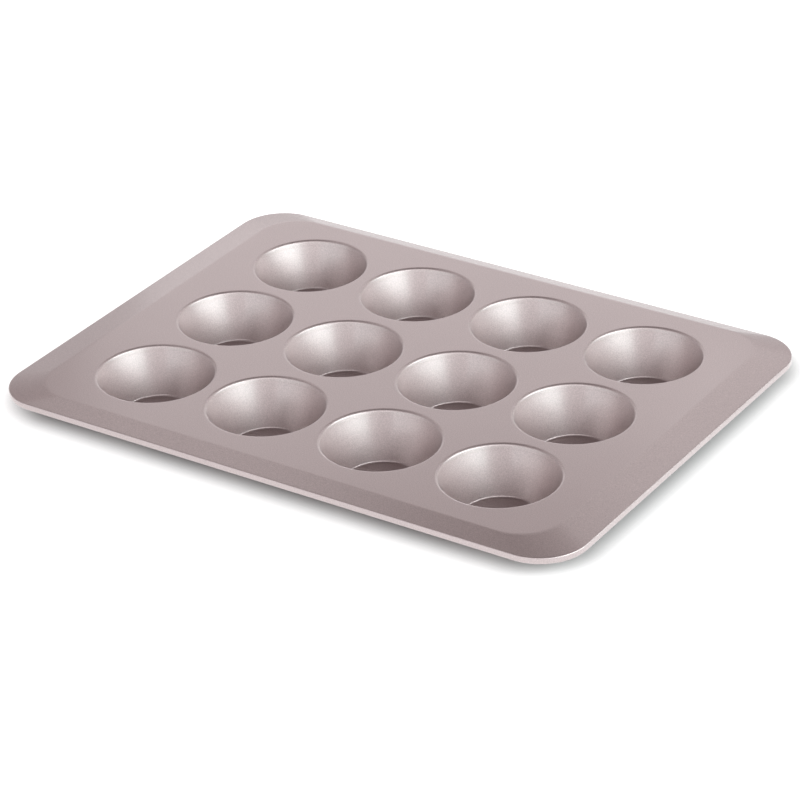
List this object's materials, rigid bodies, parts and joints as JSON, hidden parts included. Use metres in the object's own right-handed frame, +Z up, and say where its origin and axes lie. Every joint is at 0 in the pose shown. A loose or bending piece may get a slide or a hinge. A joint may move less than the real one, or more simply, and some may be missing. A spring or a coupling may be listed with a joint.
{
  "type": "muffin pan",
  "caption": "Rectangular metal muffin pan with tapered round cups crimped into a flat deck, a sloping flange and a rolled rim.",
  "frame": {"origin": "middle of the pan on the plane that the cup floors stand on", "axes": "+X along the long side to the right, +Y to the back, +Z up out of the cups"},
  "size_m": [0.4, 0.2926, 0.03],
  "materials": {
    "coated_steel": "satin",
    "wire_steel": "satin"
  },
  "bodies": {
    "root": {"deck_sheet": "coated_steel", "cup_front_1": "coated_steel", "cup_front_2": "coated_steel", "cup_front_3": "coated_steel", "cup_front_4": "coated_steel", "cup_middle_1": "coated_steel", "cup_middle_2": "coated_steel", "cup_middle_3": "coated_steel", "cup_middle_4": "coated_steel", "cup_back_1": "coated_steel", "cup_back_2": "coated_steel", "cup_back_3": "coated_steel", "cup_back_4": "coated_steel", "rim_wire": "wire_steel"}
  },
  "joints": []
}
